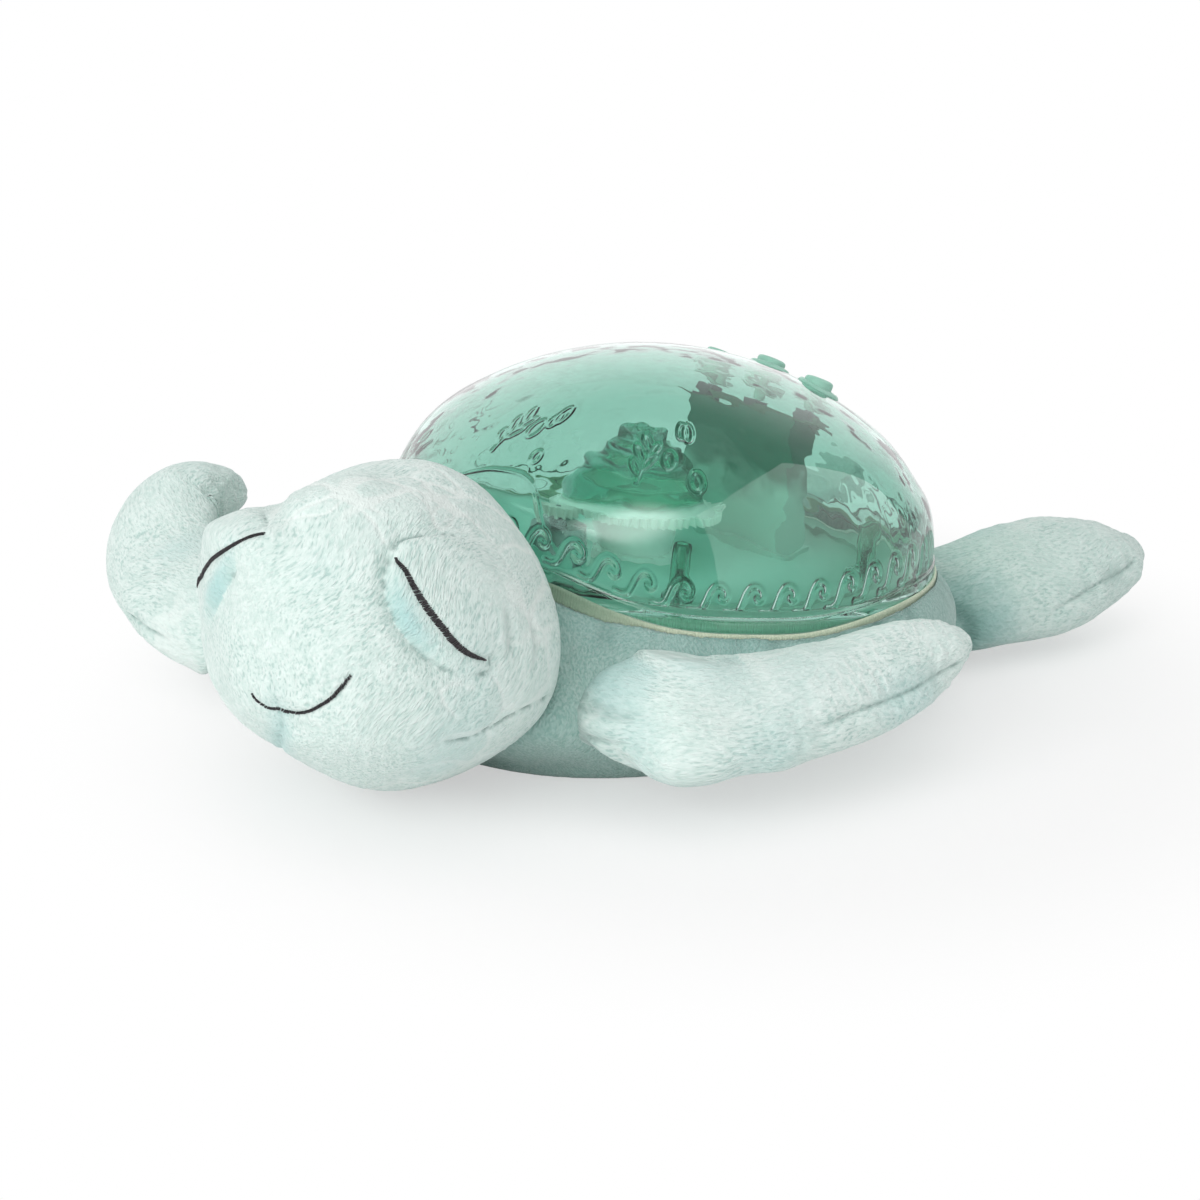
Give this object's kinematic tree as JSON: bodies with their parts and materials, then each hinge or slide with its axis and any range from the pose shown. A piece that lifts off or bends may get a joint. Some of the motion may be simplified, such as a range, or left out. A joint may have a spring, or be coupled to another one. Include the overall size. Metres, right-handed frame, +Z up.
{
  "type": "plush turtle night light projector",
  "caption": "Stuffed sleeping turtle carrying a domed night light: clear green shell with push buttons, turning ripple lens, battery bay under a belly flap.",
  "frame": {"origin": "on the ground under the middle of the whole toy's outline", "axes": "+Z up, -Y towards the turtle's head, +X towards the turtle's own left"},
  "size_m": [0.3308, 0.3821, 0.1235],
  "materials": {
    "plush": "short pile plush, pale mint, embossed with scutes",
    "collar": "fine ribbed knit band, cream green",
    "flap_cloth": "flat knit lining",
    "tape": "soft loop tape",
    "dome_clear": "clear green, glossy, dimpled inside",
    "button": "soft satin, grey green",
    "tray_plastic": "satin moulded",
    "deck_plastic": "satin moulded, green",
    "white_plastic": "satin white",
    "lens_clear": "clear, rippled",
    "led": "clear domed lights",
    "board": "green circuit board",
    "chip": "black and tinned components",
    "steel": "plain steel",
    "contact": "nickel plated",
    "cell": "plain dark wrap with bare ends",
    "magnet": "zinc plated",
    "cone": "black frame and paper cone"
  },
  "bodies": {
    "turtle": {"plush_body": "plush", "head": "plush", "front_flipper_left": "plush", "front_flipper_right": "plush", "rear_flipper_left": "plush", "rear_flipper_right": "plush", "tail": "plush", "collar_band": "collar", "dome": "dome_clear", "base_tray": "tray_plastic", "inner_deck": "deck_plastic", "dome_screws": "steel", "speaker_frame": "cone", "speaker_magnet": "magnet", "battery_1": "cell", "battery_2": "cell", "battery_3": "cell", "contacts_left": "contact", "contacts_right": "contact", "main_board": "board", "board_components": "chip", "lamp_cup": "white_plastic", "lamp_board": "board", "lamp_leds": "led", "motor": "steel", "button_board": "board", "button_switches": "chip", "button_column": "deck_plastic"},
    "button_left": {"button_left": "button"},
    "button_middle": {"button_middle": "button"},
    "button_right": {"button_right": "button"},
    "ripple_lens": {"ripple_lens": "lens_clear"},
    "motor_pinion": {"motor_pinion": "white_plastic"},
    "belly_flap": {"belly_flap": "flap_cloth", "loop_tape": "tape"},
    "battery_door": {"battery_door": "tray_plastic"}
  },
  "joints": [
    {"name": "button_left_press", "type": "slide", "parent": "turtle", "child": "button_left", "axis": [0, -0.4943, -0.8693], "range_m": [0, 0.0006], "stiffness_N_per_m": 700, "springref_m": -0.0006},
    {"name": "button_middle_press", "type": "slide", "parent": "turtle", "child": "button_middle", "axis": [0, -0.4943, -0.8693], "range_m": [0, 0.0006], "stiffness_N_per_m": 700, "springref_m": -0.0006},
    {"name": "button_right_press", "type": "slide", "parent": "turtle", "child": "button_right", "axis": [0, -0.4943, -0.8693], "range_m": [0, 0.0006], "stiffness_N_per_m": 700, "springref_m": -0.0006},
    {"name": "ripple_lens_spin", "type": "hinge", "parent": "turtle", "child": "ripple_lens", "pos_m": [0.0312, -0.00309, 0.06766], "axis": [0, 0.1392, 0.9903], "continuous": true},
    {"name": "motor_pinion_spin", "type": "hinge", "parent": "turtle", "child": "motor_pinion", "pos_m": [0.0312, -0.03973, 0.07281], "axis": [0, 0.1392, 0.9903], "continuous": true},
    {"name": "belly_flap_open", "type": "hinge", "parent": "turtle", "child": "belly_flap", "pos_m": [0.0312, -0.0221, 0.0008], "axis": [-1, 0, 0], "range_deg": [0, 100]},
    {"name": "battery_door_open", "type": "hinge", "parent": "turtle", "child": "battery_door", "pos_m": [0.0312, -0.01405, 0.0177], "axis": [-1, 0, 0], "range_deg": [0, 60]}
  ],
  "couplings": [
    {"joint": "motor_pinion_spin", "follows": "ripple_lens_spin", "ratio": -4.2857},
    {"joint": "battery_door_open", "follows": "belly_flap_open", "ratio": 0.6}
  ]
}
